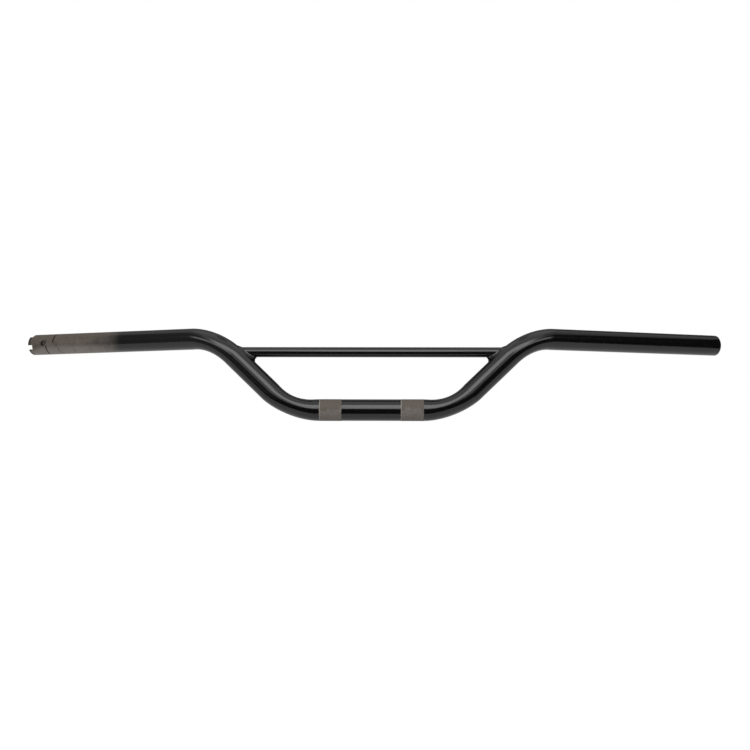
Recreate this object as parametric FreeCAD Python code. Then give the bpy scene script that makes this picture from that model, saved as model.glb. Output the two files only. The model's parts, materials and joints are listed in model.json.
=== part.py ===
import FreeCAD, Part
import math
import os
from FreeCAD import Placement, Rotation, Vector

# Motorcycle handlebar with a welded crossbar: one bent steel tube, a coped crossbar tube
# between its risers, and a fillet weld round each crossbar end.
# Frame: origin at the middle of the clamp section, on the tube's axis; +X towards the clutch
# side, +Y towards the rider, +Z up. The throttle side is at -X. Millimetres and degrees.

# Driving dimensions: main tube
tube_diameter = 25.4
tube_wall = 2.4
bend_radius = 76.2           # centreline radius of all four bends, one bending die
clamp_length = 131.0         # straight section between the two lower bends
riser_angle = 44.5           # slope of a riser above the clamp section's axis
riser_lean = 15.0            # lean of the plane of the risers towards the rider
riser_length = 61.5          # straight stretch of a riser between its bends
arm_sweep = 31.0             # pull-back of an arm, seen from above
arm_droop = 1.4              # fall of an arm towards its end, seen from the front
arm_length = 253.5           # straight stretch of an arm, from its bend to its end
end_outer_radius = 1.3       # rounding of the open ends, outside
end_inner_radius = 0.6       # and inside

# Driving dimensions: knurled clamp bands
knurl_width = 27.0
knurl_margin = 3.65          # plain tube between a band and the bend beside it
knurl_raise = 0.2            # height of the knurl's crests over the tube

# Driving dimensions: crossbar and its welds
crossbar_diameter = 12.0
crossbar_wall = 1.5
crossbar_offset = 5.75       # crossbar's axis above the top of a straight riser, in the risers' plane
weld_face_width = 6.9        # from toe to toe across the bead, the same all round the joint
weld_riser_reach = 1.09      # how much longer the bead's leg on the riser is than the one on the crossbar
weld_hollow = 0.14           # how far the face dips towards the corner, as a share of the bead's depth
weld_stations = 24           # places round the joint where the bead is laid out

# Driving dimensions: throttle end. Angles go round the arm from its front, positive downwards.
slot_width = 6.1             # key slot in the front of the end
slot_depth = 7.2
slot_angle = 16.0
cutback_depth = 5.0          # the end is cut back over its top, which leaves a tongue beside the slot
cutback_angles = (-120.0, -50.0)
hole_diameter = 7.0          # locating hole through the front wall
hole_setback = 25.0          # from the end to the hole's middle
hole_angle = -6.0
groove_width = 1.6
groove_depth = 0.8
lower_groove_setback = 30.0  # each groove runs part of the way round
lower_groove_angles = (6.0, 75.0)
upper_groove_setback = 41.5
upper_groove_angles = (-80.0, -6.0)

# Room that cutting tools have past the metal that they cut, how deep a bead bites into the metal
# before it is trimmed, and how near counts as touching
tool_clearance = 1.0
weld_bite = 0.15
same_place = 0.01

tube_radius = tube_diameter / 2
bore_radius = tube_radius - tube_wall
crossbar_radius = crossbar_diameter / 2
knurl_middle = clamp_length / 2 - knurl_margin - knurl_width / 2

# Directions and corner points of the clutch-side half of the tube's centreline
side = Vector(1, 0, 0)
mirror_origin = Vector(0, 0, 0)
lean = math.radians(riser_lean)
slope = math.radians(riser_angle)
riser_up = Vector(0, math.sin(lean), math.cos(lean))
riser = side * math.cos(slope) + riser_up * math.sin(slope)
arm = Vector(1, math.tan(math.radians(arm_sweep)), -math.tan(math.radians(arm_droop)))
arm.normalize()
upper_turn = math.acos(riser.dot(arm))
upper_inward = (arm - riser * arm.dot(riser)).normalize()

clamp_end = side * (clamp_length / 2)
riser_foot = clamp_end + (side * math.sin(slope) + riser_up * (1 - math.cos(slope))) * bend_radius
riser_top = riser_foot + riser * riser_length
upper_bend = riser * math.sin(upper_turn) + upper_inward * (1 - math.cos(upper_turn))
arm_root = riser_top + upper_bend * bend_radius
arm_end = arm_root + arm * arm_length
throttle_arm = Vector(-arm.x, arm.y, arm.z)
throttle_end = Vector(-arm_end.x, arm_end.y, arm_end.z)
crossbar_middle = riser_up * (riser_top.dot(riser_up) + crossbar_offset)


def mirrored(shape):
    return shape.mirror(mirror_origin, side)


def disc(radius, centre, axis, seam):
    # a round face whose seam starts on the side that seam points to
    face = Part.Face(Part.Wire(Part.Circle(centre, axis, radius).toShape()))
    edge = face.Edges[0]
    start = edge.valueAt(edge.FirstParameter) - centre
    wanted = seam - axis * axis.dot(seam)
    turn = math.atan2(axis.dot(start.cross(wanted)), start.dot(wanted))
    face.rotate(centre, axis, math.degrees(turn))
    return face


def half_runs(radius):
    # the runs and bends of one half, clutch side, as solids that meet end to end
    rear = Vector(0, 1, 0)
    lower_axis = side.cross(riser_up)
    upper_axis = riser.cross(upper_inward)
    return [
        disc(radius, clamp_end, side, rear).revolve(
            clamp_end + riser_up * bend_radius, lower_axis, riser_angle),
        disc(radius, riser_foot, riser, rear).extrude(riser * riser_length),
        disc(radius, riser_top, riser, rear).revolve(
            riser_top + upper_inward * bend_radius, upper_axis, math.degrees(upper_turn)),
        disc(radius, arm_root, arm, rear).extrude(arm * arm_length),
    ]


def one_solid(shapes):
    return shapes[0].multiFuse(shapes[1:]).removeSplitter().Solids[0]


def bent_bar(radius):
    clamp_run = disc(radius, -clamp_end, side, Vector(0, 1, 0)).extrude(clamp_end * 2)
    runs = half_runs(radius)
    return one_solid([clamp_run] + runs + [mirrored(run) for run in runs])


def knurl_band(x_middle):
    start = Vector(x_middle - knurl_width / 2, 0, 0)
    return Part.makeCylinder(tube_radius + knurl_raise, knurl_width, start, side)


def round_ends(tube, edge_radius, rounding):
    # rounds the circle of that radius at each open end
    rims = []
    for edge in tube.Edges:
        if not isinstance(edge.Curve, Part.Circle) or abs(edge.Curve.Radius - edge_radius) > same_place:
            continue
        centre = edge.Curve.Center
        if min((centre - arm_end).Length, (centre - throttle_end).Length) < same_place:
            rims.append(edge)
    return tube.makeFillet(rounding, rims)


def throttle_frame(angle):
    # at the throttle end's middle: X points out of the wall at the given angle, Z out of the end
    front = Vector(0, 0, 1).cross(throttle_arm).normalize()
    upward = throttle_arm.cross(front)
    turn = math.radians(angle)
    radial = front * math.cos(turn) - upward * math.sin(turn)
    return Placement(throttle_end, Rotation(radial, throttle_arm.cross(radial), throttle_arm, "ZXY"))


def key_slot():
    cutter = Part.makeBox(tube_radius + tool_clearance, slot_width, slot_depth + tool_clearance,
                          Vector(0, -slot_width / 2, -slot_depth))
    cutter.Placement = throttle_frame(slot_angle)
    return cutter


def locating_hole():
    cutter = Part.makeCylinder(hole_diameter / 2, tube_radius + tool_clearance,
                               Vector(0, 0, -hole_setback), Vector(1, 0, 0))
    cutter.Placement = throttle_frame(hole_angle)
    return cutter


def arc_cut(floor_radius, near, far, angles):
    # cuts the wall down to a radius, between two places along the arm and two angles round it
    top_radius = tube_radius + tool_clearance
    corners = [Vector(floor_radius, 0, near), Vector(top_radius, 0, near),
               Vector(top_radius, 0, far), Vector(floor_radius, 0, far)]
    profile = Part.Face(Part.makePolygon(corners + corners[:1]))
    cutter = profile.revolve(Vector(0, 0, 0), Vector(0, 0, 1), angles[1] - angles[0])
    cutter.Placement = throttle_frame(angles[1])
    return cutter


def end_cutback():
    return arc_cut(bore_radius - tool_clearance, tool_clearance, -cutback_depth, cutback_angles)


def part_groove(setback, angles):
    half_width = groove_width / 2
    return arc_cut(tube_radius - groove_depth, half_width - setback, -half_width - setback, angles)


def crossbar_rod(radius, half_length):
    # a plain rod on the crossbar's axis, its seam turned away from the corner points of the welds
    rear_low = Vector(0, 1, -1)
    return disc(radius, crossbar_middle - side * half_length, side, rear_low).extrude(side * half_length * 2)


def middle_piece(shape):
    return min(shape.Solids, key=lambda solid: abs(solid.CenterOfMass.x))


def coped_crossbar(bar):
    # the tube between the risers, its two ends cut to the risers' round
    rod = middle_piece(crossbar_rod(crossbar_radius, arm_root.x).cut(bar))
    bore = crossbar_rod(crossbar_radius - crossbar_wall, arm_root.x)
    return rod.cut(bore)


def joint_corner(riser_skin, radial):
    # where the crossbar's line on that side meets the riser, and the riser's outward normal there
    start = crossbar_middle + radial * crossbar_radius
    buried = Part.makeLine(start, start + side * riser_top.x).common(riser_skin)
    corner = min((vertex.Point for vertex in buried.Vertexes), key=lambda point: point.x)
    face = min(riser_skin.Faces, key=lambda face: face.distToShape(Part.Vertex(corner))[0])
    return corner, face.normalAt(*face.Surface.parameter(corner))


def bead_section(riser_skin, radial):
    # toe on the crossbar, hollow of the face, toe on the riser and root; legs grow as the corner narrows
    corner, normal = joint_corner(riser_skin, radial)
    open_angle = math.pi - radial.getAngle(normal)
    leg = weld_face_width / (2 * math.sin(open_angle / 2))
    up_riser = (radial - normal * normal.dot(radial)).normalize()
    crossbar_toe = corner - side * leg
    above_riser = Part.Vertex(corner + up_riser * leg * weld_riser_reach)
    riser_toe = riser_skin.distToShape(above_riser)[1][0][0]
    face_middle = (crossbar_toe + riser_toe) / 2
    hollow = face_middle + (corner - face_middle) * weld_hollow
    root = corner + (side - radial) * weld_bite * 2
    return crossbar_toe - radial * weld_bite, hollow, riser_toe - normal * weld_bite, root


def closed_curve(points):
    curve = Part.BSplineCurve()
    curve.interpolate(Points=points, PeriodicFlag=True)
    return curve.toShape()


def fillet_weld():
    # clutch side: a hollow-faced bead lofted round the joint, trimmed by both pieces
    half_bar = one_solid(half_runs(tube_radius))
    sections = []
    for station in range(weld_stations):
        turn = 2 * math.pi * station / weld_stations
        sections.append(bead_section(half_bar, Vector(0, math.cos(turn), math.sin(turn))))
    crossbar_toe, hollow, riser_toe, root = [closed_curve(list(points)) for points in zip(*sections)]
    face = Part.makeLoft([Part.Wire(edge) for edge in (crossbar_toe, hollow, riser_toe)])
    faces = face.Faces + [Part.makeRuledSurface(riser_toe, root), Part.makeRuledSurface(root, crossbar_toe)]
    shell = Part.makeShell(faces)
    shell.sewShape()
    bead = Part.makeSolid(shell)
    rod = crossbar_rod(crossbar_radius, riser_top.x)
    return bead.cut(one_solid([half_bar, rod])).Solids[0]


bar = bent_bar(tube_radius)
banded_bar = one_solid([bar, knurl_band(-knurl_middle), knurl_band(knurl_middle)])
tube = banded_bar.cut(bent_bar(bore_radius)).Solids[0]
tube = round_ends(tube, tube_radius, min(end_outer_radius, tube_wall / 2))
tube = round_ends(tube, bore_radius, min(end_inner_radius, tube_wall / 3))
throttle_cuts = [
    key_slot(),
    end_cutback(),
    locating_hole(),
    part_groove(lower_groove_setback, lower_groove_angles),
    part_groove(upper_groove_setback, upper_groove_angles),
]
weld = fillet_weld()

nodes = {
    "handlebar_tube": tube.cut(throttle_cuts).Solids[0],
    "crossbar": coped_crossbar(bar),
    "clutch_side_weld": weld,
    "throttle_side_weld": mirrored(weld),
}

os.makedirs("parts", exist_ok=True)
for name, shape in nodes.items():
    shape.exportStep("parts/" + name + ".step")
    print(name, len(shape.Solids), "solid", round(shape.Volume, 1), "mm3", shape.isValid())
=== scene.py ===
import json
import math

import bmesh
import bpy
import numpy as np
from mathutils import Matrix, Vector


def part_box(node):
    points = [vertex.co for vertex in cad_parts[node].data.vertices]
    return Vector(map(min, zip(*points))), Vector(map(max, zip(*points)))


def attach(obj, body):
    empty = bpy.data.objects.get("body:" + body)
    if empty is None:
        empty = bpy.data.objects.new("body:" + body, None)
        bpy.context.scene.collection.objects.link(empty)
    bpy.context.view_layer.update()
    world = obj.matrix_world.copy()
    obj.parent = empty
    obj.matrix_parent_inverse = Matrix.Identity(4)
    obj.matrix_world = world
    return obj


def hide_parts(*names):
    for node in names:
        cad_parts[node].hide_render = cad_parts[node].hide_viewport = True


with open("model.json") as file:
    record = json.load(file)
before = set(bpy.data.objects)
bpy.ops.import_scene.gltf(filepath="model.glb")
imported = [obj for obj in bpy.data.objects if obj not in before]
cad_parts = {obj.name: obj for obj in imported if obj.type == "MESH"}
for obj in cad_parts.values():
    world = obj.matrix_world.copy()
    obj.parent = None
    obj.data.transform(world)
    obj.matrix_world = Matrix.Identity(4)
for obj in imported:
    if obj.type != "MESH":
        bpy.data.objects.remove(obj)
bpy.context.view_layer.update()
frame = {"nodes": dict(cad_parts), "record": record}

record = frame["record"]
mounts = {mount["name"]: mount for mount in record["mounts"]}
mm = 0.001
seamGap = 0.001 * mm                        # points nearer than this are merged
print("frame loaded:", ", ".join(sorted(frame["nodes"])))


# Node trees: sums on sockets, and one way to add any other node

class Wire:
    def __init__(self, tree, socket):
        self.tree = tree
        self.socket = socket

    def math(self, operation, *values):
        return addNode(self.tree, "ShaderNodeMath", {"operation": operation}, dict(enumerate(values)))

    def __add__(self, other):
        return self.math("ADD", self, other)

    __radd__ = __add__

    def __sub__(self, other):
        return self.math("SUBTRACT", self, other)

    def __rsub__(self, other):
        return self.math("SUBTRACT", other, self)

    def __mul__(self, other):
        return self.math("MULTIPLY", self, other)

    __rmul__ = __mul__

    def __truediv__(self, other):
        return self.math("DIVIDE", self, other)

    def __rtruediv__(self, other):
        return self.math("DIVIDE", other, self)

    def __mod__(self, other):
        return self.math("FLOORED_MODULO", self, other)

    def __abs__(self):
        return self.math("ABSOLUTE", self)


def addNode(tree, kind, settings=None, inputs=None, output=0):
    node = tree.nodes.new(kind)
    for name, value in (settings or {}).items():
        setattr(node, name, value)
    for name, value in (inputs or {}).items():
        if isinstance(value, Wire):
            tree.links.new(value.socket, node.inputs[name])
        else:
            node.inputs[name].default_value = value
    return Wire(tree, node.outputs[output]) if node.outputs else None


def smoothStep(wire, low, high):            # 0 below low, 1 above high
    settings = {"interpolation_type": "SMOOTHSTEP"}
    inputs = {"Value": wire, "From Min": low, "From Max": high}
    return addNode(wire.tree, "ShaderNodeMapRange", settings, inputs)


def mixColour(mask, first, second):
    settings = {"data_type": "RGBA"}
    return addNode(mask.tree, "ShaderNodeMix", settings, {0: mask, 6: first, 7: second}, 2)


def mixValue(mask, first, second):
    return addNode(mask.tree, "ShaderNodeMix", {"data_type": "FLOAT"}, {0: mask, 2: first, 3: second})


def noise(tree, vector, size, detail=2.0, roughness=0.5):
    inputs = {"Vector": vector, "Scale": size, "Detail": detail, "Roughness": roughness}
    return addNode(tree, "ShaderNodeTexNoise", {}, inputs)


# The tube's centreline: sizes as the solids have them, the rest from the mounts

barLine = {
    "bendRadius": 76.2 * mm,
    "clampLength": 131.0 * mm,
    "riserAngle": 44.5,
    "riserLean": 15.0,
    "riserLength": 61.5 * mm,
    "lowerFlattening": 0.12,                # loss of depth in the plane of a bend, at its middle
    "upperFlattening": 0.08,
    "widening": 0.35,                       # share of that loss which goes into the width
}


def unit(vector):
    return vector / np.linalg.norm(vector)


def turned(vector, axis, angle):
    straight = axis * np.dot(axis, vector) * (1 - math.cos(angle))
    return vector * math.cos(angle) + np.cross(axis, vector) * math.sin(angle) + straight


flip = np.array([-1.0, 1.0, 1.0])           # clutch side to throttle side
side = np.array([1.0, 0.0, 0.0])
slope = math.radians(barLine["riserAngle"])
lean = math.radians(barLine["riserLean"])
riserUp = np.array([0.0, math.sin(lean), math.cos(lean)])
riser = side * math.cos(slope) + riserUp * math.sin(slope)
arm = unit(np.array(mounts["clutch_grip"]["axis"]))
upperTurn = math.acos(np.dot(riser, arm))
upperInward = unit(arm - riser * np.dot(arm, riser))
bendRadius = barLine["bendRadius"]
clampEnd = side * barLine["clampLength"] / 2
riserFoot = clampEnd + (side * math.sin(slope) + riserUp * (1 - math.cos(slope))) * bendRadius
riserTop = riserFoot + riser * barLine["riserLength"]
upperBend = riser * math.sin(upperTurn) + upperInward * (1 - math.cos(upperTurn))
armRoot = riserTop + upperBend * bendRadius
tubeRadius = mounts["clutch_grip"]["dims"]["r_mm"] * mm
boreRadius = mounts["clutch_bar_end"]["dims"]["r_mm"] * mm


# Handlebar tube: one closed wall, out along the outside and back through the bore

tubeWall = {
    "segments": 192,
    "bendRings": 30,
    "boreBendRings": 16,
    "straightStep": 12.7 * mm,
    "outerRounding": 1.3 * mm,
    "innerRounding": 0.6 * mm,
    "roundingSteps": 5,
    "sharpAngle": 38,                       # edges turning by more than this stay sharp
}
knurlBand = {
    "teethRound": 48,
    "teethAlong": 9,
    "rowsPerTooth": 4,
    "rootRadius": 12.62 * mm,
    "crestRadius": mounts["clutch_side_clamp"]["dims"]["r_mm"] * mm,
    "edgeStep": 0.03 * mm,
}
armLength = mounts["clutch_bar_end"]["dims"]["length_mm"] * mm + tubeWall["innerRounding"]
armEnd = armRoot + arm * armLength
throttleEnd = armEnd * flip
throttleArm = arm * flip                    # out along the throttle-side arm, then its front and its top
throttleFront = unit(np.cross((0.0, 0.0, 1.0), throttleArm))
throttleUp = np.cross(throttleArm, throttleFront)
bandWidth = mounts["clutch_side_clamp"]["dims"]["length_mm"] * mm
bandMiddle = mounts["clutch_side_clamp"]["pos_m"][0]


def ring(centre, across, upward, radius, inward=None, flattening=0.0, knurl=None):
    # one station of the wall: its middle, two half-axes, and its place in a knurled band in teeth
    axes = []
    for axis in (across, upward):
        if inward is not None:
            part = inward * np.dot(axis, inward)
            axis = part * (1 - flattening) + (axis - part) * (1 + flattening * barLine["widening"])
        axes.append(axis * radius)
    return {"centre": centre, "across": axes[0], "upward": axes[1], "knurl": knurl}


def mirrored(station):
    turnedRound = dict(station)
    for part in ("centre", "across", "upward"):
        turnedRound[part] = station[part] * flip
    return turnedRound


def straightRun(start, direction, length, across, upward, radius):
    count = max(2, math.ceil(length / tubeWall["straightStep"]) + 1)
    return [ring(start + direction * along, across, upward, radius)
            for along in np.linspace(0, length, count)]


def bendRun(start, heading, inward, turn, across, upward, radius, flattening, count):
    stations = []
    axis = np.cross(heading, inward)
    for share in np.linspace(0, 1, count + 2)[1:-1]:
        angle = turn * share
        centre = start + (heading * math.sin(angle) + inward * (1 - math.cos(angle))) * bendRadius
        toMiddle = inward * math.cos(angle) - heading * math.sin(angle)
        stations.append(ring(centre, turned(across, axis, angle), turned(upward, axis, angle), radius,
                             toMiddle, flattening * math.sin(math.pi * share)))
    return stations


def clampRun(across, upward, radius, knurled):
    if not knurled:
        return straightRun(side * 0, side, clampEnd[0], across, upward, radius)
    bandStart, bandEnd = bandMiddle - bandWidth / 2, bandMiddle + bandWidth / 2
    stations = straightRun(side * 0, side, bandStart, across, upward, radius)
    rows = knurlBand["teethAlong"] * knurlBand["rowsPerTooth"]
    inset = knurlBand["edgeStep"]
    for row in range(rows + 1):
        along = bandStart + inset + (bandWidth - 2 * inset) * row / rows
        stations.append(ring(side * along, across, upward, 1.0, knurl=row / knurlBand["rowsPerTooth"]))
    return stations + straightRun(side * bandEnd, side, clampEnd[0] - bandEnd, across, upward, radius)


def halfTube(radius, rounding, roundsOut, bendRings, knurled):
    # stations from the bar's middle to the clutch end
    across, upward = np.array([0.0, -1.0, 0.0]), np.array([0.0, 0.0, 1.0])
    stations = clampRun(across, upward, radius, knurled)
    stations += bendRun(clampEnd, side, riserUp, slope, across, upward, radius,
                        barLine["lowerFlattening"], bendRings)
    axis = np.cross(side, riserUp)
    across, upward = turned(across, axis, slope), turned(upward, axis, slope)
    stations += straightRun(riserFoot, riser, barLine["riserLength"], across, upward, radius)
    stations += bendRun(riserTop, riser, upperInward, upperTurn, across, upward, radius,
                        barLine["upperFlattening"], bendRings)
    axis = np.cross(riser, upperInward)
    across, upward = turned(across, axis, upperTurn), turned(upward, axis, upperTurn)
    stations += straightRun(armRoot, arm, armLength - rounding, across, upward, radius)
    for step in range(1, tubeWall["roundingSteps"] + 1):
        angle = math.pi / 2 * step / tubeWall["roundingSteps"]
        drop = rounding * (1 - math.cos(angle))
        along = armLength - rounding * (1 - math.sin(angle))
        endRadius = radius + drop if roundsOut else radius - drop
        stations.append(ring(armRoot + arm * along, across, upward, endRadius))
    return stations


def wallStations():
    outside = halfTube(tubeRadius, tubeWall["outerRounding"], False, tubeWall["bendRings"], True)
    inside = halfTube(boreRadius, tubeWall["innerRounding"], True, tubeWall["boreBendRings"], False)
    stations = [mirrored(station) for station in reversed(outside)][:-1] + outside
    stations += inside[::-1][:-1] + [mirrored(station) for station in inside]
    return stations


def addObject(name, data):
    thing = bpy.data.objects.new(name, data)
    bpy.context.scene.collection.objects.link(thing)
    return thing


def applyModifiers(piece):
    # the evaluated mesh takes the place of the piece's own
    source = piece.data
    evaluated = piece.evaluated_get(bpy.context.evaluated_depsgraph_get())
    mesh = bpy.data.meshes.new_from_object(evaluated)
    piece.modifiers.clear()
    piece.data = mesh
    bpy.data.meshes.remove(source)
    mesh.name = piece.name
    return mesh


def guideMesh(name, points, vectors, numbers):
    # bare points that carry what a node tree reads from them
    mesh = bpy.data.meshes.new(name)
    mesh.from_pydata([tuple(point) for point in points], [], [])
    for label, values in vectors.items():
        attribute = mesh.attributes.new(label, "FLOAT_VECTOR", "POINT")
        attribute.data.foreach_set("vector", np.array(values, np.float32).ravel())
    for label, values in numbers.items():
        attribute = mesh.attributes.new(label, "FLOAT", "POINT")
        attribute.data.foreach_set("value", np.array(values, np.float32))
    return mesh


def newTree(name, sockets):
    # a Geometry Nodes tree with a geometry in and out and the named inputs
    tree = bpy.data.node_groups.new(name, "GeometryNodeTree")
    tree.interface.new_socket("Geometry", in_out="OUTPUT", socket_type="NodeSocketGeometry")
    tree.interface.new_socket("Guide", in_out="INPUT", socket_type="NodeSocketGeometry")
    for label, kind in sockets.items():
        tree.interface.new_socket(label, in_out="INPUT", socket_type=kind)
    source = addNode(tree, "NodeGroupInput").socket.node
    return tree, {socket.name: Wire(tree, socket) for socket in source.outputs if socket.name}


def endTree(tree, geometry, material):
    geometry = addNode(tree, "GeometryNodeMergeByDistance", {}, {"Geometry": geometry, "Distance": seamGap})
    geometry = addNode(tree, "GeometryNodeRealizeInstances", {}, {"Geometry": geometry})
    geometry = addNode(tree, "GeometryNodeSetMaterial", {}, {"Geometry": geometry, "Material": material})
    addNode(tree, "NodeGroupOutput", {}, {0: geometry})


def vectorMath(tree, operation, *values, output=0):
    kinds = dict(enumerate(values))
    if operation == "SCALE":
        kinds = {0: values[0], "Scale": values[1]}
    return addNode(tree, "ShaderNodeVectorMath", {"operation": operation}, kinds, output)


def vectorSum(tree, *vectors):
    total = vectors[0]
    for vector in vectors[1:]:
        total = vectorMath(tree, "ADD", total, vector)
    return total


def pointCount(tree, guide):
    settings = {"component": "MESH"}
    return addNode(tree, "GeometryNodeAttributeDomainSize", settings, {0: guide}, "Point Count")


def gridLoops(tree, guide, columns):
    # a grid with one row for each guide point, and each of its points' row and column, closed both ways
    rows = pointCount(tree, guide)
    sizes = {"Size X": 1.0, "Size Y": 1.0, "Vertices X": columns + 1, "Vertices Y": rows + 1}
    grid = addNode(tree, "GeometryNodeMeshGrid", {}, sizes, "Mesh")
    place = addNode(tree, "GeometryNodeInputPosition")
    column = addNode(tree, "ShaderNodeSeparateXYZ", {}, {0: place}, "X")
    row = addNode(tree, "ShaderNodeSeparateXYZ", {}, {0: place}, "Y")
    column = column.math("ROUND", (column + 0.5) * columns)
    row = row.math("ROUND", (row + 0.5) * rows) % rows
    return grid, row, column


def readGuide(tree, guide, row, label, kind="FLOAT_VECTOR"):
    # the value that the row's guide point carries
    if label == "position":
        value = addNode(tree, "GeometryNodeInputPosition")
    else:
        value = addNode(tree, "GeometryNodeInputNamedAttribute", {"data_type": kind}, {"Name": label})
    settings = {"data_type": kind, "domain": "POINT"}
    inputs = {"Geometry": guide, "Value": value, "Index": row}
    return addNode(tree, "GeometryNodeSampleIndex", settings, inputs)


def wallTree():
    sockets = {
        "Segments": "NodeSocketInt",
        "Teeth Round": "NodeSocketInt",
        "Root Radius": "NodeSocketFloat",
        "Crest Radius": "NodeSocketFloat",
        "Material": "NodeSocketMaterial",
    }
    tree, given = newTree("Knurled tube wall", sockets)
    grid, row, column = gridLoops(tree, given["Guide"], given["Segments"])
    turn = column / given["Segments"]
    tooth = turn * given["Teeth Round"]
    along = readGuide(tree, given["Guide"], row, "knurlAlong", "FLOAT")
    banded = readGuide(tree, given["Guide"], row, "knurled", "FLOAT")
    leftHand = abs((tooth + along) % 1.0 - 0.5)         # 0.5 in a groove, 0 half way to the next
    rightHand = abs((tooth - along) % 1.0 - 0.5)
    height = 1.0 - 2.0 * leftHand.math("MAXIMUM", leftHand, rightHand)
    knurlRadius = given["Root Radius"] + height * (given["Crest Radius"] - given["Root Radius"])
    size = mixValue(banded, 1.0, knurlRadius)
    angle = turn * (2 * math.pi)
    across = readGuide(tree, given["Guide"], row, "across")
    upward = readGuide(tree, given["Guide"], row, "upward")
    place = vectorSum(tree, readGuide(tree, given["Guide"], row, "position"),
                      vectorMath(tree, "SCALE", across, angle.math("COSINE", angle) * size),
                      vectorMath(tree, "SCALE", upward, angle.math("SINE", angle) * size))
    moved = addNode(tree, "GeometryNodeSetPosition", {}, {"Geometry": grid, "Position": place})
    endTree(tree, moved, given["Material"])
    return tree


def grow(name, guide, tree, values):
    # runs a tree on a guide and keeps the result as a plain mesh object
    piece = addObject(name, guide)
    modifier = piece.modifiers.new(tree.name, "NODES")
    modifier.node_group = tree
    for item in tree.interface.items_tree:
        if item.in_out == "INPUT" and item.name in values:
            modifier[item.identifier] = values[item.name]
    grown = applyModifiers(piece)
    grown.materials.clear()                 # one slot only, without the empty one before it
    grown.materials.append(values["Material"])
    return piece


def faceOutward(mesh):
    work = bmesh.new()
    work.from_mesh(mesh)
    if work.calc_volume(signed=True) < 0:
        bmesh.ops.reverse_faces(work, faces=work.faces)
    work.to_mesh(mesh)
    work.free()


def softEdges(mesh, degrees):
    mesh.shade_smooth()
    mesh.set_sharp_from_angle(angle=math.radians(degrees))


# Throttle end: key slot, cut-back, locating hole and part grooves, cut as they are machined

throttleCuts = {
    "slotWidth": 6.1 * mm,
    "slotDepth": 7.2 * mm,
    "slotAngle": 16.0,                      # angles go round the arm from its front, positive downwards
    "cutbackDepth": 5.0 * mm,
    "cutbackAngles": (-120.0, -50.0),
    "holeRadius": 3.5 * mm,
    "holeSetback": 25.0 * mm,
    "holeAngle": -6.0,
    "holeSegments": 64,
    "grooveWidth": 1.6 * mm,
    "grooveDepth": 0.8 * mm,
    "grooves": ((30.0 * mm, (6.0, 75.0)), (41.5 * mm, (-80.0, -6.0))),
    "arcStep": 1.5,
    "reach": 1.0 * mm,                      # how far the cutters stand past the wall
}
cutterFoot = boreRadius - 2 * throttleCuts["reach"]         # where a cutter through the wall begins
cutterTop = tubeRadius + throttleCuts["reach"]
cutterMiddle = (cutterFoot + cutterTop) / 2


def throttleFrame(angle):
    # at the throttle end's middle: X out of the wall at that angle, Z out of the end
    turn = math.radians(angle)
    radial = throttleFront * math.cos(turn) - throttleUp * math.sin(turn)
    tangent = np.cross(throttleArm, radial)
    frameMatrix = Matrix((radial, tangent, throttleArm)).transposed().to_4x4()
    frameMatrix.translation = Vector(throttleEnd)
    return frameMatrix


def addSlot(work):
    low, high = -throttleCuts["slotDepth"], throttleCuts["reach"]
    size = Matrix.Diagonal((cutterTop - cutterFoot, throttleCuts["slotWidth"], high - low, 1.0))
    middle = Matrix.Translation((cutterMiddle, 0.0, (low + high) / 2))
    bmesh.ops.create_cube(work, size=1.0, matrix=throttleFrame(throttleCuts["slotAngle"]) @ middle @ size)


def addHole(work):
    radius = throttleCuts["holeRadius"]
    middle = Matrix.Translation((cutterMiddle, 0.0, -throttleCuts["holeSetback"]))
    laidOver = Matrix.Rotation(math.pi / 2, 4, "Y")
    bmesh.ops.create_cone(work, cap_ends=True, segments=throttleCuts["holeSegments"], radius1=radius,
                          radius2=radius, depth=cutterTop - cutterFoot,
                          matrix=throttleFrame(throttleCuts["holeAngle"]) @ middle @ laidOver)


def addArcCut(work, floorRadius, near, far, angles):
    # a four-cornered section swept between two angles round the arm
    count = math.ceil((angles[1] - angles[0]) / throttleCuts["arcStep"])
    corners = [(floorRadius, near), (cutterTop, near), (cutterTop, far), (floorRadius, far)]
    sections = []
    for angle in np.linspace(angles[0], angles[1], count + 1):
        place = throttleFrame(angle)
        sections.append([work.verts.new(place @ Vector((out, 0.0, along))) for out, along in corners])
    for before, after in zip(sections, sections[1:]):
        for first in range(4):
            second = (first + 1) % 4
            work.faces.new((before[first], before[second], after[second], after[first]))
    work.faces.new(sections[0][::-1])
    work.faces.new(sections[-1])


def throttleTool(material):
    work = bmesh.new()
    addSlot(work)
    addHole(work)
    reach, depth = throttleCuts["reach"], throttleCuts["cutbackDepth"]
    addArcCut(work, boreRadius - reach, reach, -depth, throttleCuts["cutbackAngles"])
    half = throttleCuts["grooveWidth"] / 2
    for setback, angles in throttleCuts["grooves"]:
        addArcCut(work, tubeRadius - throttleCuts["grooveDepth"], half - setback, -half - setback, angles)
    bmesh.ops.recalc_face_normals(work, faces=work.faces)
    mesh = bpy.data.meshes.new("throttleTool")
    work.to_mesh(mesh)
    work.free()
    mesh.materials.append(material)         # the cut faces take it over
    return addObject("throttleTool", mesh)


def cutThrottleEnd(tube):
    tool = throttleTool(tube.data.materials[0])
    modifier = tube.modifiers.new("throttle end", "BOOLEAN")
    modifier.operation = "DIFFERENCE"
    modifier.solver = "EXACT"
    modifier.object = tool
    applyModifiers(tube)
    bpy.data.meshes.remove(tool.data)       # the cutter goes with it


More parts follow.
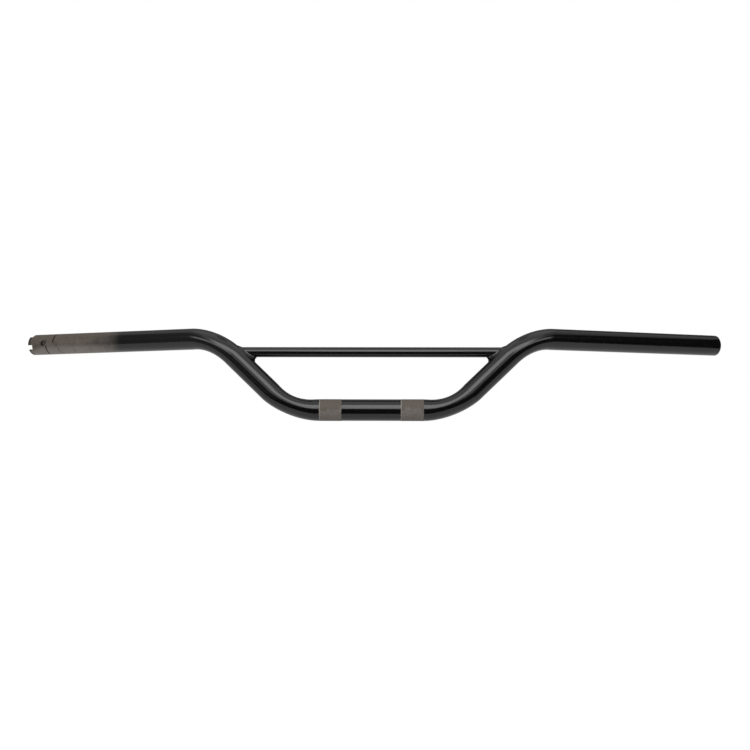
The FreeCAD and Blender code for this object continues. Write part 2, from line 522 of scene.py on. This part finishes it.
def makeTube(material):
    stations = wallStations()
    vectors = {part: [station[part] for station in stations] for part in ("across", "upward")}
    numbers = {"knurled": [station["knurl"] is not None for station in stations],
               "knurlAlong": [station["knurl"] or 0.0 for station in stations]}
    guide = guideMesh("tubeGuide", [station["centre"] for station in stations], vectors, numbers)
    tube = grow("handlebar_tube_finished", guide, wallTree(), {
        "Segments": tubeWall["segments"],
        "Teeth Round": knurlBand["teethRound"],
        "Root Radius": knurlBand["rootRadius"],
        "Crest Radius": knurlBand["crestRadius"],
        "Material": material,
    })
    faceOutward(tube.data)
    cutThrottleEnd(tube)
    softEdges(tube.data, tubeWall["sharpAngle"])
    print("tube:", len(stations), "rings,", len(tube.data.polygons), "faces")
    return tube


# Crossbar: a thin tube whose ends are coped to the risers

crossbarTube = {
    "wall": 1.5 * mm,
    "segments": 96,
    "rings": 14,
    "tuck": 0.05 * mm,                      # how far a coped end stands into the riser's paint
    "copeHalvings": 40,                     # halvings of the stretch that the coped edge is sought in
    "sharpAngle": 38,
}
crossLow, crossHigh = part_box("crossbar")
crossRadius = (crossHigh.z - crossLow.z) / 2
crossMiddle = np.array([0.0, (crossLow.y + crossHigh.y) / 2, (crossLow.z + crossHigh.z) / 2])


def skinDepth(point):
    # how deep a point lies in the clutch-side riser or its upper bend, below the skin, negative outside
    along = np.dot(point - riserTop, riser)
    if along <= 0:
        return tubeRadius - np.linalg.norm(point - riserTop - riser * along)
    toMiddle = riserTop + upperInward * bendRadius - point
    inPlane = upperInward * np.dot(toMiddle, upperInward) + riser * np.dot(toMiddle, riser)
    angle = math.atan2(-np.dot(inPlane, riser), np.dot(inPlane, upperInward))
    flattening = barLine["upperFlattening"] * math.sin(math.pi * min(1.0, angle / upperTurn))
    offInPlane = (np.linalg.norm(inPlane) - bendRadius) / (1 - flattening)
    offSideways = np.linalg.norm(toMiddle - inPlane) / (1 + flattening * barLine["widening"])
    return tubeRadius - math.hypot(offInPlane, offSideways)


def copeAt(radial, radius):
    # where a line along the crossbar meets the clutch-side riser
    near, far = clampEnd[0], riserTop[0]
    for halving in range(crossbarTube["copeHalvings"]):
        middle = (near + far) / 2
        point = crossMiddle + radial * radius + side * middle
        if skinDepth(point) > crossbarTube["tuck"]:
            far = middle
        else:
            near = middle
    return near


def makeCrossbar(material):
    segments, rings = crossbarTube["segments"], crossbarTube["rings"]
    radials = [np.array([0.0, math.cos(turn), math.sin(turn)])
               for turn in np.linspace(0, 2 * math.pi, segments, endpoint=False)]
    loops = []                              # out along the skin and back through the bore
    for radius, shares in ((crossRadius, np.linspace(-1, 1, rings)),
                           (crossRadius - crossbarTube["wall"], np.linspace(1, -1, rings))):
        copes = [copeAt(radial, radius) for radial in radials]
        for share in shares:
            loops.append([crossMiddle + radial * radius + side * cope * share
                          for radial, cope in zip(radials, copes)])
    points = np.array(loops).reshape(-1, 3)
    faces = []
    for row in range(len(loops)):
        for column in range(segments):
            nextRow, nextColumn = (row + 1) % len(loops), (column + 1) % segments
            faces.append((row * segments + column, row * segments + nextColumn,
                          nextRow * segments + nextColumn, nextRow * segments + column))
    mesh = bpy.data.meshes.new("crossbar_finished")
    mesh.from_pydata([tuple(point) for point in points], [], faces)
    mesh.materials.append(material)
    faceOutward(mesh)
    softEdges(mesh, crossbarTube["sharpAngle"])
    print("crossbar:", len(mesh.polygons), "faces")
    return addObject("crossbar_finished", mesh)


# Welds: a hollow fillet bead round each crossbar end, with the ripples of its passes under the paint

weldBead = {
    "faceWidth": 6.9 * mm,
    "riserReach": 1.05,                     # how much longer the leg on the riser is than the other
    "stations": 216,
    "sectionPoints": 15,
    "fullness": (0.97, 0.7, 0.27),          # above, below, front and back: 0 lies in the corner, 1 is flat
    "ripples": 19,
    "rippleHeight": 0.06 * mm,
    "rippleBow": 0.45,                      # how far a ripple's middle trails its ends, in ripples
    "lumpHeight": 0.25 * mm,
    "lumpSize": 260.0,                      # lumps in a metre
    "sink": 0.12 * mm,                      # toes lie this far in the tubes
    "rootSink": 0.36 * mm,                  # and the root this far in the riser
    "probe": 0.01 * mm,                     # how far apart the skin's depth is felt for its slope
    "toeSteps": 4,                          # steps that bring a toe onto the skin
    "sharpAngle": 60,
}


def skinSlope(point):
    # how the depth in the riser changes along each axis
    depth, probe = skinDepth(point), weldBead["probe"]
    return np.array([(skinDepth(point + axis * probe) - depth) / probe for axis in np.eye(3)])


def onSkin(point):
    # the nearest point of the riser's skin, just below it
    for step in range(weldBead["toeSteps"]):
        slopeHere = skinSlope(point)
        toGo = weldBead["sink"] - skinDepth(point)
        point = point + slopeHere * toGo / np.dot(slopeHere, slopeHere)
    return point


def weldGuide(sideSign):
    corners, barToes, riserToes, fullness = [], [], [], []
    above, below, beside = weldBead["fullness"]
    for turn in np.linspace(0, 2 * math.pi, weldBead["stations"], endpoint=False):
        radial = np.array([0.0, math.cos(turn), math.sin(turn)])
        corner = crossMiddle + radial * crossRadius + side * copeAt(radial, crossRadius)
        normal = -unit(skinSlope(corner))
        away = unit(radial - normal * np.dot(radial, normal))
        openAngle = math.pi - math.acos(np.dot(radial, normal))
        leg = weldBead["faceWidth"] / (2 * math.sin(openAngle / 2))     # longer where the corner is narrow
        corners.append(corner + side * weldBead["rootSink"] - radial * weldBead["sink"])
        barToes.append(corner - side * leg - radial * weldBead["sink"])
        riserToes.append(onSkin(corner + away * leg * weldBead["riserReach"]))
        upright = above if radial[2] > 0 else below
        fullness.append(upright + (beside - upright) * radial[1] ** 2)
    mirror = np.array([sideSign, 1.0, 1.0])
    vectors = {"barToe": np.array(barToes) * mirror, "riserToe": np.array(riserToes) * mirror}
    return guideMesh("weldGuide", np.array(corners) * mirror, vectors, {"fullness": fullness})


def weldTree():
    sockets = {
        "Section Points": "NodeSocketInt",
        "Ripples": "NodeSocketFloat",
        "Ripple Height": "NodeSocketFloat",
        "Ripple Bow": "NodeSocketFloat",
        "Lump Height": "NodeSocketFloat",
        "Lump Size": "NodeSocketFloat",
        "Material": "NodeSocketMaterial",
    }
    tree, given = newTree("Weld bead", sockets)
    guide = given["Guide"]
    grid, row, column = gridLoops(tree, guide, given["Section Points"] + 1)
    buried = column.math("COMPARE", column, given["Section Points"], 0.5)
    across = (column % (given["Section Points"] + 1)) / (given["Section Points"] - 1)
    corner = readGuide(tree, guide, row, "position")
    barToe = readGuide(tree, guide, row, "barToe")
    riserToe = readGuide(tree, guide, row, "riserToe")
    fullness = readGuide(tree, guide, row, "fullness", "FLOAT")
    middle = vectorMath(tree, "SCALE", vectorSum(tree, barToe, riserToe), 0.5)
    mixVectors = {"data_type": "VECTOR"}
    crown = addNode(tree, "ShaderNodeMix", mixVectors, {0: fullness, 4: corner, 5: middle}, 1)
    hump = 4.0 * across * (1.0 - across)                # 0 at the toes, 1 half way
    place = vectorSum(tree, vectorMath(tree, "SCALE", barToe, (1.0 - across) * (1.0 - across)),
                      vectorMath(tree, "SCALE", crown, hump * 0.5),
                      vectorMath(tree, "SCALE", riserToe, across * across))
    turn = row / pointCount(tree, guide)
    phase = (turn * given["Ripples"] - hump * given["Ripple Bow"]) * (2 * math.pi)
    lump = noise(tree, place, given["Lump Size"], 1.0)
    relief = phase.math("COSINE", phase) * given["Ripple Height"] + (lump - 0.5) * given["Lump Height"]
    outward = vectorMath(tree, "NORMALIZE", vectorMath(tree, "SUBTRACT", middle, corner))
    place = vectorSum(tree, place, vectorMath(tree, "SCALE", outward, relief * hump))
    place = addNode(tree, "ShaderNodeMix", mixVectors, {0: buried, 4: place, 5: corner}, 1)
    moved = addNode(tree, "GeometryNodeSetPosition", {}, {"Geometry": grid, "Position": place})
    endTree(tree, moved, given["Material"])
    return tree


def makeWeld(name, sideSign, tree, material):
    weld = grow(name, weldGuide(sideSign), tree, {
        "Section Points": weldBead["sectionPoints"],
        "Ripples": float(weldBead["ripples"]),
        "Ripple Height": weldBead["rippleHeight"],
        "Ripple Bow": weldBead["rippleBow"],
        "Lump Height": weldBead["lumpHeight"],
        "Lump Size": weldBead["lumpSize"],
        "Material": material,
    })
    faceOutward(weld.data)
    softEdges(weld.data, weldBead["sharpAngle"])
    print("weld:", name, len(weld.data.polygons), "faces")
    return weld


# Finishes

blackCoat = {
    "colour": (0.0026, 0.0026, 0.0028, 1.0),
    "dustyColour": (0.006, 0.0058, 0.0056, 1.0),
    "dust": 0.6,
    "dustSize": 160.0,                      # sizes of patterns count their waves in a metre
    "dustSpread": (0.5, 0.8),               # noise at which it begins, and at which it is full
    "roughness": (0.13, 0.2),
    "cloudSize": 14.0,
    "peelSize": 420.0,
    "peelDepth": 0.1 * mm,
    "peelStrength": 0.01,
}
bareSteel = {
    "colour": (0.225, 0.2, 0.18, 1.0),
    "roughness": (0.42, 0.58),
    "metallic": 0.8,
    # stain colour, also laid on the upper side as painted shade
    "stainAndShade": (0.155, 0.13, 0.112, 1.0),
    "stainSpread": (0.41, 0.61),
    "topShade": 0.3,                        # painted shade: more of it on the upper side, which the lamps above light most
    "wornStain": 0.12,                      # and on the stretch at the very end
    "wornEdge": (27.0 * mm, 33.0 * mm),
    "blotchSize": 42.0,
    "speckSize": 420.0,
    "grimeAndShade": (0.018, 0.016, 0.015, 1.0),    # dark colour of the marks, and of the painted shade in the cuts and on the knurl
    "cutShadeDepth": (0.02 * mm, 0.25 * mm),     # painted shade on the cut faces: depth below the skin at which it begins and is full
    "cutShadeFoot": 0.1 * mm,                    # it ends within this of the bore
    "tipDarkening": 0.6,                        # darker on the tongue, and in a smudge beside the locating hole
    "tipEdge": (3.0 * mm, 5.5 * mm),
    "smudgeSetback": 28.0 * mm,
    "smudgeRise": 2.5 * mm,
    "smudgeEdge": (1.0 * mm, 5.0 * mm),
    "scuff": 0.5,                           # dark marks round the arm
    "scuffSize": (420.0, 70.0),             # along the arm, and round it
    "scuffSpread": (0.56, 0.76),
    # painted shade darkening the knurled bands
    "bandShade": 0.35,
    "bandMetallic": 0.4,
    "bandRoughness": 0.8,
    "bandLap": 0.9 * mm,                    # paint lies this far over the throttle-side band's outer edge
    "rim": (0.25, 0.23, 0.21, 1.0),         # bright edge of each band on its throttle side
    "rimEdge": (0.4 * mm, 1.3 * mm),
    "length": 136.0 * mm,                   # unpainted stretch at the throttle end
    "spray": 15.0 * mm,                     # half width of the soft edge of the paint
    "ragged": 10.0 * mm,                    # how far that edge wanders
    "raggedSize": 55.0,
    "fogAndShade": 0.5,                             # thin fog of paint on the steel beside that edge, with painted shade in it
    "fogAndShadeLength": 60.0 * mm,
    "midShadeHeight": 1.15,                      # in tube radii, where it has thinned out above and below: painted shade, darkest at mid-height
}


def newMaterial(name):
    material = bpy.data.materials.new(name)
    material.use_nodes = True
    tree = material.node_tree
    tree.nodes.clear()
    return material, tree


def endMaterial(tree, inputs):
    surface = addNode(tree, "ShaderNodeBsdfPrincipled", {}, inputs)
    addNode(tree, "ShaderNodeOutputMaterial", {}, {"Surface": surface})


def objectPlace(tree):
    return addNode(tree, "ShaderNodeTexCoord", output="Object")


def fineRelief(tree, height):
    inputs = {"Strength": blackCoat["peelStrength"], "Distance": blackCoat["peelDepth"], "Height": height}
    return addNode(tree, "ShaderNodeBump", {}, inputs)


def coatParts(tree, place):
    # black paint: colour, roughness and relief
    cloud = noise(tree, place, blackCoat["cloudSize"], 3.0)
    dust = smoothStep(noise(tree, place, blackCoat["dustSize"], 4.0, 0.65), *blackCoat["dustSpread"])
    colour = mixColour(dust * blackCoat["dust"], blackCoat["colour"], blackCoat["dustyColour"])
    smooth, dull = blackCoat["roughness"]
    roughness = mixValue(cloud * 0.6 + dust * 0.4, smooth, dull)
    peel = noise(tree, place, blackCoat["peelSize"], 1.0)
    return colour, roughness, peel


def steelParts(tree, place, upward, alongArm):
    # worn bare steel with stains, browner at the arm's end, and browner and darker towards its top as
    # painted shade: upward goes from -1 to 1
    blotch = noise(tree, place, bareSteel["blotchSize"], 4.0, 0.6)
    speck = noise(tree, place, bareSteel["speckSize"], 3.0, 0.6)
    worn = 1.0 - smoothStep(alongArm, *bareSteel["wornEdge"])
    # painted shade: the upper side takes more stain, against the light of the lamps above
    wearAndTopShade = upward * bareSteel["topShade"] + worn * bareSteel["wornStain"]
    stainAndShade = smoothStep(blotch * 0.7 + speck * 0.3 + wearAndTopShade, *bareSteel["stainSpread"])
    colour = mixColour(stainAndShade, bareSteel["colour"], bareSteel["stainAndShade"])
    smooth, dull = bareSteel["roughness"]
    roughness = mixValue(speck * 0.5 + stainAndShade * 0.5, smooth, dull)
    return colour, roughness, speck


def coatMaterial():
    material, tree = newMaterial("black_coat")
    colour, roughness, peel = coatParts(tree, objectPlace(tree))
    endMaterial(tree, {"Base Color": colour, "Roughness": roughness, "Normal": fineRelief(tree, peel)})
    return material


def armParts(tree, place):
    # where a point lies on the throttle-side arm: in from its end, above its axis, and off its axis
    fromEnd = vectorMath(tree, "SUBTRACT", place, tuple(throttleEnd))
    alongArm = vectorMath(tree, "DOT_PRODUCT", fromEnd, tuple(-throttleArm), output="Value")
    armHeight = vectorMath(tree, "DOT_PRODUCT", fromEnd, tuple(throttleUp), output="Value")
    acrossArm = vectorMath(tree, "CROSS_PRODUCT", fromEnd, tuple(throttleArm))
    offAxis = vectorMath(tree, "LENGTH", acrossArm, output="Value")
    return alongArm, armHeight, offAxis


def bandParts(tree, place):
    # 1 on the bare clamp bands, and 1 on the bright rim of each
    acrossBar = addNode(tree, "ShaderNodeSeparateXYZ", {}, {0: place}, "X")
    lapped = acrossBar.math("LESS_THAN", acrossBar, 0.0) * bareSteel["bandLap"]
    fromRim = acrossBar - acrossBar.math("SIGN", acrossBar) * bandMiddle + bandWidth / 2
    beyondLap = fromRim.math("GREATER_THAN", fromRim, lapped)
    bandBare = beyondLap * fromRim.math("LESS_THAN", fromRim, bandWidth)
    rim = (1.0 - smoothStep(fromRim - lapped, *bareSteel["rimEdge"])) * bandBare
    return bandBare, rim


def tipMarks(tree, place, alongArm):
    # darker on the tongue and in a smudge beside the locating hole
    tip = 1.0 - smoothStep(alongArm, *bareSteel["tipEdge"])
    smudgeAt = throttleEnd - throttleArm * bareSteel["smudgeSetback"]
    smudgeAt = smudgeAt + throttleUp * bareSteel["smudgeRise"] + throttleFront * tubeRadius
    fromSmudge = vectorMath(tree, "DISTANCE", place, tuple(smudgeAt), output="Value")
    smudge = 1.0 - smoothStep(fromSmudge, *bareSteel["smudgeEdge"])
    return tip.math("MAXIMUM", tip, smudge) * bareSteel["tipDarkening"]


def scuffMarks(tree, alongArm, armHeight):
    sizeAlong, sizeRound = bareSteel["scuffSize"]
    inputs = {"X": alongArm * sizeAlong, "Y": armHeight * sizeRound}
    place = addNode(tree, "ShaderNodeCombineXYZ", {}, inputs)
    return smoothStep(noise(tree, place, 1.0), *bareSteel["scuffSpread"]) * bareSteel["scuff"]


def tubeMaterial():
    # paint over steel, with the throttle end and the two clamp bands left bare
    material, tree = newMaterial("coated_tube")
    place = objectPlace(tree)
    coatColour, coatRoughness, peel = coatParts(tree, place)
    alongArm, armHeight, offAxis = armParts(tree, place)
    bandBare, rim = bandParts(tree, place)
    barHeight = addNode(tree, "ShaderNodeSeparateXYZ", {}, {0: place}, "Z")
    upward = mixValue(bandBare, armHeight, barHeight) / tubeRadius
    steelColour, steelRoughness, grain = steelParts(tree, place, upward, alongArm)

    wander = (noise(tree, place, bareSteel["raggedSize"], 3.0) - 0.5) * bareSteel["ragged"]
    edge, spray = bareSteel["length"], bareSteel["spray"]
    endBare = 1.0 - smoothStep(alongArm + wander, edge - spray, edge + spray)
    bare = endBare.math("MAXIMUM", endBare, bandBare)
    fogAndShade = smoothStep(alongArm + wander, edge - bareSteel["fogAndShadeLength"], edge) * bareSteel["fogAndShade"]
    # painted shade: darkest at mid-height, which the lamps above and the floor below light least
    fogAndShade = fogAndShade * (bareSteel["midShadeHeight"] - abs(upward))
    # painted shade on the faces of the cuts and on the end, down to the bore
    cutFloor = smoothStep(offAxis, boreRadius, boreRadius + bareSteel["cutShadeFoot"])
    cutShade = smoothStep(tubeRadius - offAxis, *bareSteel["cutShadeDepth"]) * cutFloor * endBare
    offBands = 1.0 - bandBare
    scuffs = scuffMarks(tree, alongArm, armHeight) * offBands
    tip = tipMarks(tree, place, alongArm)
    # dark marks, with painted shade in the paint fog, in the cuts and on the bands
    for mask in (scuffs, fogAndShade * offBands, tip, cutShade, bandBare * bareSteel["bandShade"]):
        steelColour = mixColour(mask, steelColour, bareSteel["grimeAndShade"])
    steelColour = mixColour(rim, steelColour, bareSteel["rim"])
    steelRoughness = mixValue(bandBare, steelRoughness, bareSteel["bandRoughness"])
    endMaterial(tree, {
        "Base Color": mixColour(bare, coatColour, steelColour),
        "Roughness": mixValue(bare, coatRoughness, steelRoughness),
        "Metallic": bare * mixValue(bandBare, bareSteel["metallic"], bareSteel["bandMetallic"]),
        "Normal": fineRelief(tree, mixValue(bare, peel, grain)),
    })
    return material


# Studio: white floor and surround, four soft boxes, and dull cloths that only reflections show

studio = {
    "floorDrop": 0.6,                       # floor below the bar's clamp section
    "floorHalf": 12.0,
    "floorColour": (0.74, 0.74, 0.74, 1.0),
    "floorGlow": (0.54, 0.54, 0.54, 1.0),   # what brings the lit floor up to white, for the eye only
    "ambient": 0.7,                         # strength of the surround's light on the bar
    "clothColour": (0.004, 0.004, 0.004, 1.0),
    "clothGap": 0.01,                       # cloths end this far above the floor
    "rearCloth": 2.4,                       # how far behind the bar the rear cloths hang
    "boxDistance": 2.3,
    "boxes": {                              # azimuth from the front, elevation, width, height, radiance
        "high_box": (0.0, 45.0, 3.2, 1.0, 2.9),
        "front_box": (0.0, 25.0, 0.4, 0.68, 2.9),
        "left_box": (-48.0, 22.5, 1.75, 0.6, 2.2),
        "right_box": (46.0, 22.5, 1.65, 0.6, 2.2),
    },
}
photoCamera = {
    "distance": 2.2,                        # from the clamp section's middle
    "pixelsPerMetre": 849.93,               # at that distance
    "originPixel": (371.297, 410.121),
    "frame": 750,
    "yaw": -0.891,                          # degrees
    "roll": 0.0665,
    "sensor": 36.0,
}


def shownRay(tree):
    # 1 on rays that show the surround: seen, mirrored or seen through
    seen = addNode(tree, "ShaderNodeLightPath", output="Is Camera Ray")
    glossy = addNode(tree, "ShaderNodeLightPath", output="Is Glossy Ray")
    through = addNode(tree, "ShaderNodeLightPath", output="Is Transmission Ray")
    return seen.math("MAXIMUM", seen.math("MAXIMUM", seen, glossy), through)


def panel(name, corners, material):
    mesh = bpy.data.meshes.new(name)
    mesh.from_pydata([tuple(corner) for corner in corners], [], [(0, 1, 2, 3)])
    mesh.materials.append(material)
    thing = addObject(name, mesh)
    return thing


def level(height, left, right, front, rear):
    return [(left, front, height), (right, front, height), (right, rear, height), (left, rear, height)]


def hanging(depth, left, right, low, high):
    return [(left, depth, low), (right, depth, low), (right, depth, high), (left, depth, high)]


def leaning(foot, head, front, rear, low, high):
    # beside the bar, from a foot nearer to it to a head further off
    return [(foot, front, low), (foot, rear, low), (head, rear, high), (head, front, high)]


def makeFloor():
    material, tree = newMaterial("studio_floor")
    seen = addNode(tree, "ShaderNodeLightPath", output="Is Camera Ray")
    glow = mixColour(seen, (0.0, 0.0, 0.0, 1.0), studio["floorGlow"])
    endMaterial(tree, {"Base Color": studio["floorColour"], "Roughness": 0.9, "Specular IOR Level": 0.0,
                       "Emission Color": glow, "Emission Strength": 1.0})
    half = studio["floorHalf"]
    panel("studio_floor", level(-studio["floorDrop"], -half, half, -half, half), material)


def makeCloths():
    # tone of each cloth, and its corners
    low, rear = studio["clothGap"] - studio["floorDrop"], studio["rearCloth"]
    cloths = {
        "front_floor_cloth": (0.0, level(low, -2.0, 2.0, -3.2, -0.7)),
        "front_cloth": (0.0, hanging(-3.2, -3.0, 3.0, low, 0.75)),
        "left_cloth": (0.18, leaning(-1.9, -2.6, -4.8, 1.8, low, 2.85)),
        "right_cloth": (0.0, leaning(1.9, 2.6, -4.8, 1.8, low, 2.31)),
        "left_high_cloth": (0.5, [(-2.6, -1.2, 2.85), (-2.6, rear, 2.3),
                                  (-2.6, rear, 4.6), (-2.6, -1.2, 4.6)]),
        "right_high_cloth": (0.5, [(2.6, -1.2, 2.31), (2.6, rear, 2.3),
                                   (2.6, rear, 4.6), (2.6, -1.2, 4.6)]),
        "high_rear_cloth": (0.55, hanging(rear, -5.0, 5.0, 3.0, 5.2)),
        "overhead_cloth": (0.0, level(1.5, -0.13, 0.13, 0.29, 0.62)),
        "rear_cloth": (0.24, hanging(rear, -5.0, 0.6, 0.1, 3.0)),
        "right_rear_cloth": (0.12, hanging(rear, 0.6, 5.0, 0.1, 3.0)),
    }
    for name, (tone, corners) in cloths.items():
        material, tree = newMaterial(name)
        endMaterial(tree, {"Base Color": studio["clothColour"], "Roughness": 1.0, "Specular IOR Level": 0.0,
                           "Emission Color": (tone, tone, tone, 1.0), "Emission Strength": 1.0})
        cloth = panel(name, corners, material)
        cloth.visible_camera = False
        cloth.visible_diffuse = False
        cloth.visible_shadow = False
        cloth.visible_transmission = False


def makeLights():
    for name, (azimuth, elevation, width, height, radiance) in studio["boxes"].items():
        light = bpy.data.lights.new(name, "AREA")
        light.shape = "RECTANGLE"
        light.size, light.size_y = width, height
        light.energy = radiance * math.pi * width * height
        box = addObject(name, light)
        aside, above = math.radians(azimuth), math.radians(elevation)
        flat = math.cos(above)
        toBox = Vector((math.sin(aside) * flat, -math.cos(aside) * flat, math.sin(above)))
        box.location = toBox * studio["boxDistance"]
        box.rotation_euler = toBox.to_track_quat("Z", "Y").to_euler()


def makeWorld():
    world = bpy.data.worlds.new("white_surround")
    world.use_nodes = True
    tree = world.node_tree
    tree.nodes.clear()
    strength = mixValue(shownRay(tree), studio["ambient"], 1.0)
    inputs = {"Color": (1.0, 1.0, 1.0, 1.0), "Strength": strength}
    surround = addNode(tree, "ShaderNodeBackground", {}, inputs)
    addNode(tree, "ShaderNodeOutputWorld", {}, {"Surface": surround})
    bpy.context.scene.world = world


def makeCamera():
    yaw = math.radians(photoCamera["yaw"])
    right = Vector((math.cos(yaw), -math.sin(yaw), 0.0))
    ahead = Vector((math.sin(yaw), math.cos(yaw), 0.0))
    half = photoCamera["frame"] / 2
    aside = (half - photoCamera["originPixel"][0]) / photoCamera["pixelsPerMetre"]
    above = (photoCamera["originPixel"][1] - half) / photoCamera["pixelsPerMetre"]
    data = bpy.data.cameras.new("photo_camera")
    data.sensor_fit = "HORIZONTAL"
    data.sensor_width = photoCamera["sensor"]
    spread = photoCamera["pixelsPerMetre"] * photoCamera["distance"]
    data.lens = photoCamera["sensor"] * spread / photoCamera["frame"]
    camera = addObject("photo_camera", data)
    axes = Matrix((right, Vector((0.0, 0.0, 1.0)), -ahead)).transposed()
    camera.rotation_euler = (axes @ Matrix.Rotation(math.radians(photoCamera["roll"]), 3, "Z")).to_euler()
    camera.location = right * aside - ahead * photoCamera["distance"] + Vector((0.0, 0.0, above))
    bpy.context.scene.camera = camera


# Assembly

coat = coatMaterial()
tube = makeTube(tubeMaterial())
crossbar = makeCrossbar(coat)
beadTree = weldTree()
clutchWeld = makeWeld("clutch_side_weld_finished", 1.0, beadTree, coat)
throttleWeld = makeWeld("throttle_side_weld_finished", -1.0, beadTree, coat)
standsFor = {"handlebar_tube": tube, "crossbar": crossbar, "clutch_side_weld": clutchWeld,
             "throttle_side_weld": throttleWeld}
for node, piece in standsFor.items():
    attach(piece, "root")
    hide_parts(node)
print("pieces in place:", len(standsFor))

makeFloor()
makeCloths()
makeLights()
makeWorld()
makeCamera()
bpy.context.scene.view_settings.view_transform = "Standard"
print("studio and camera ready")
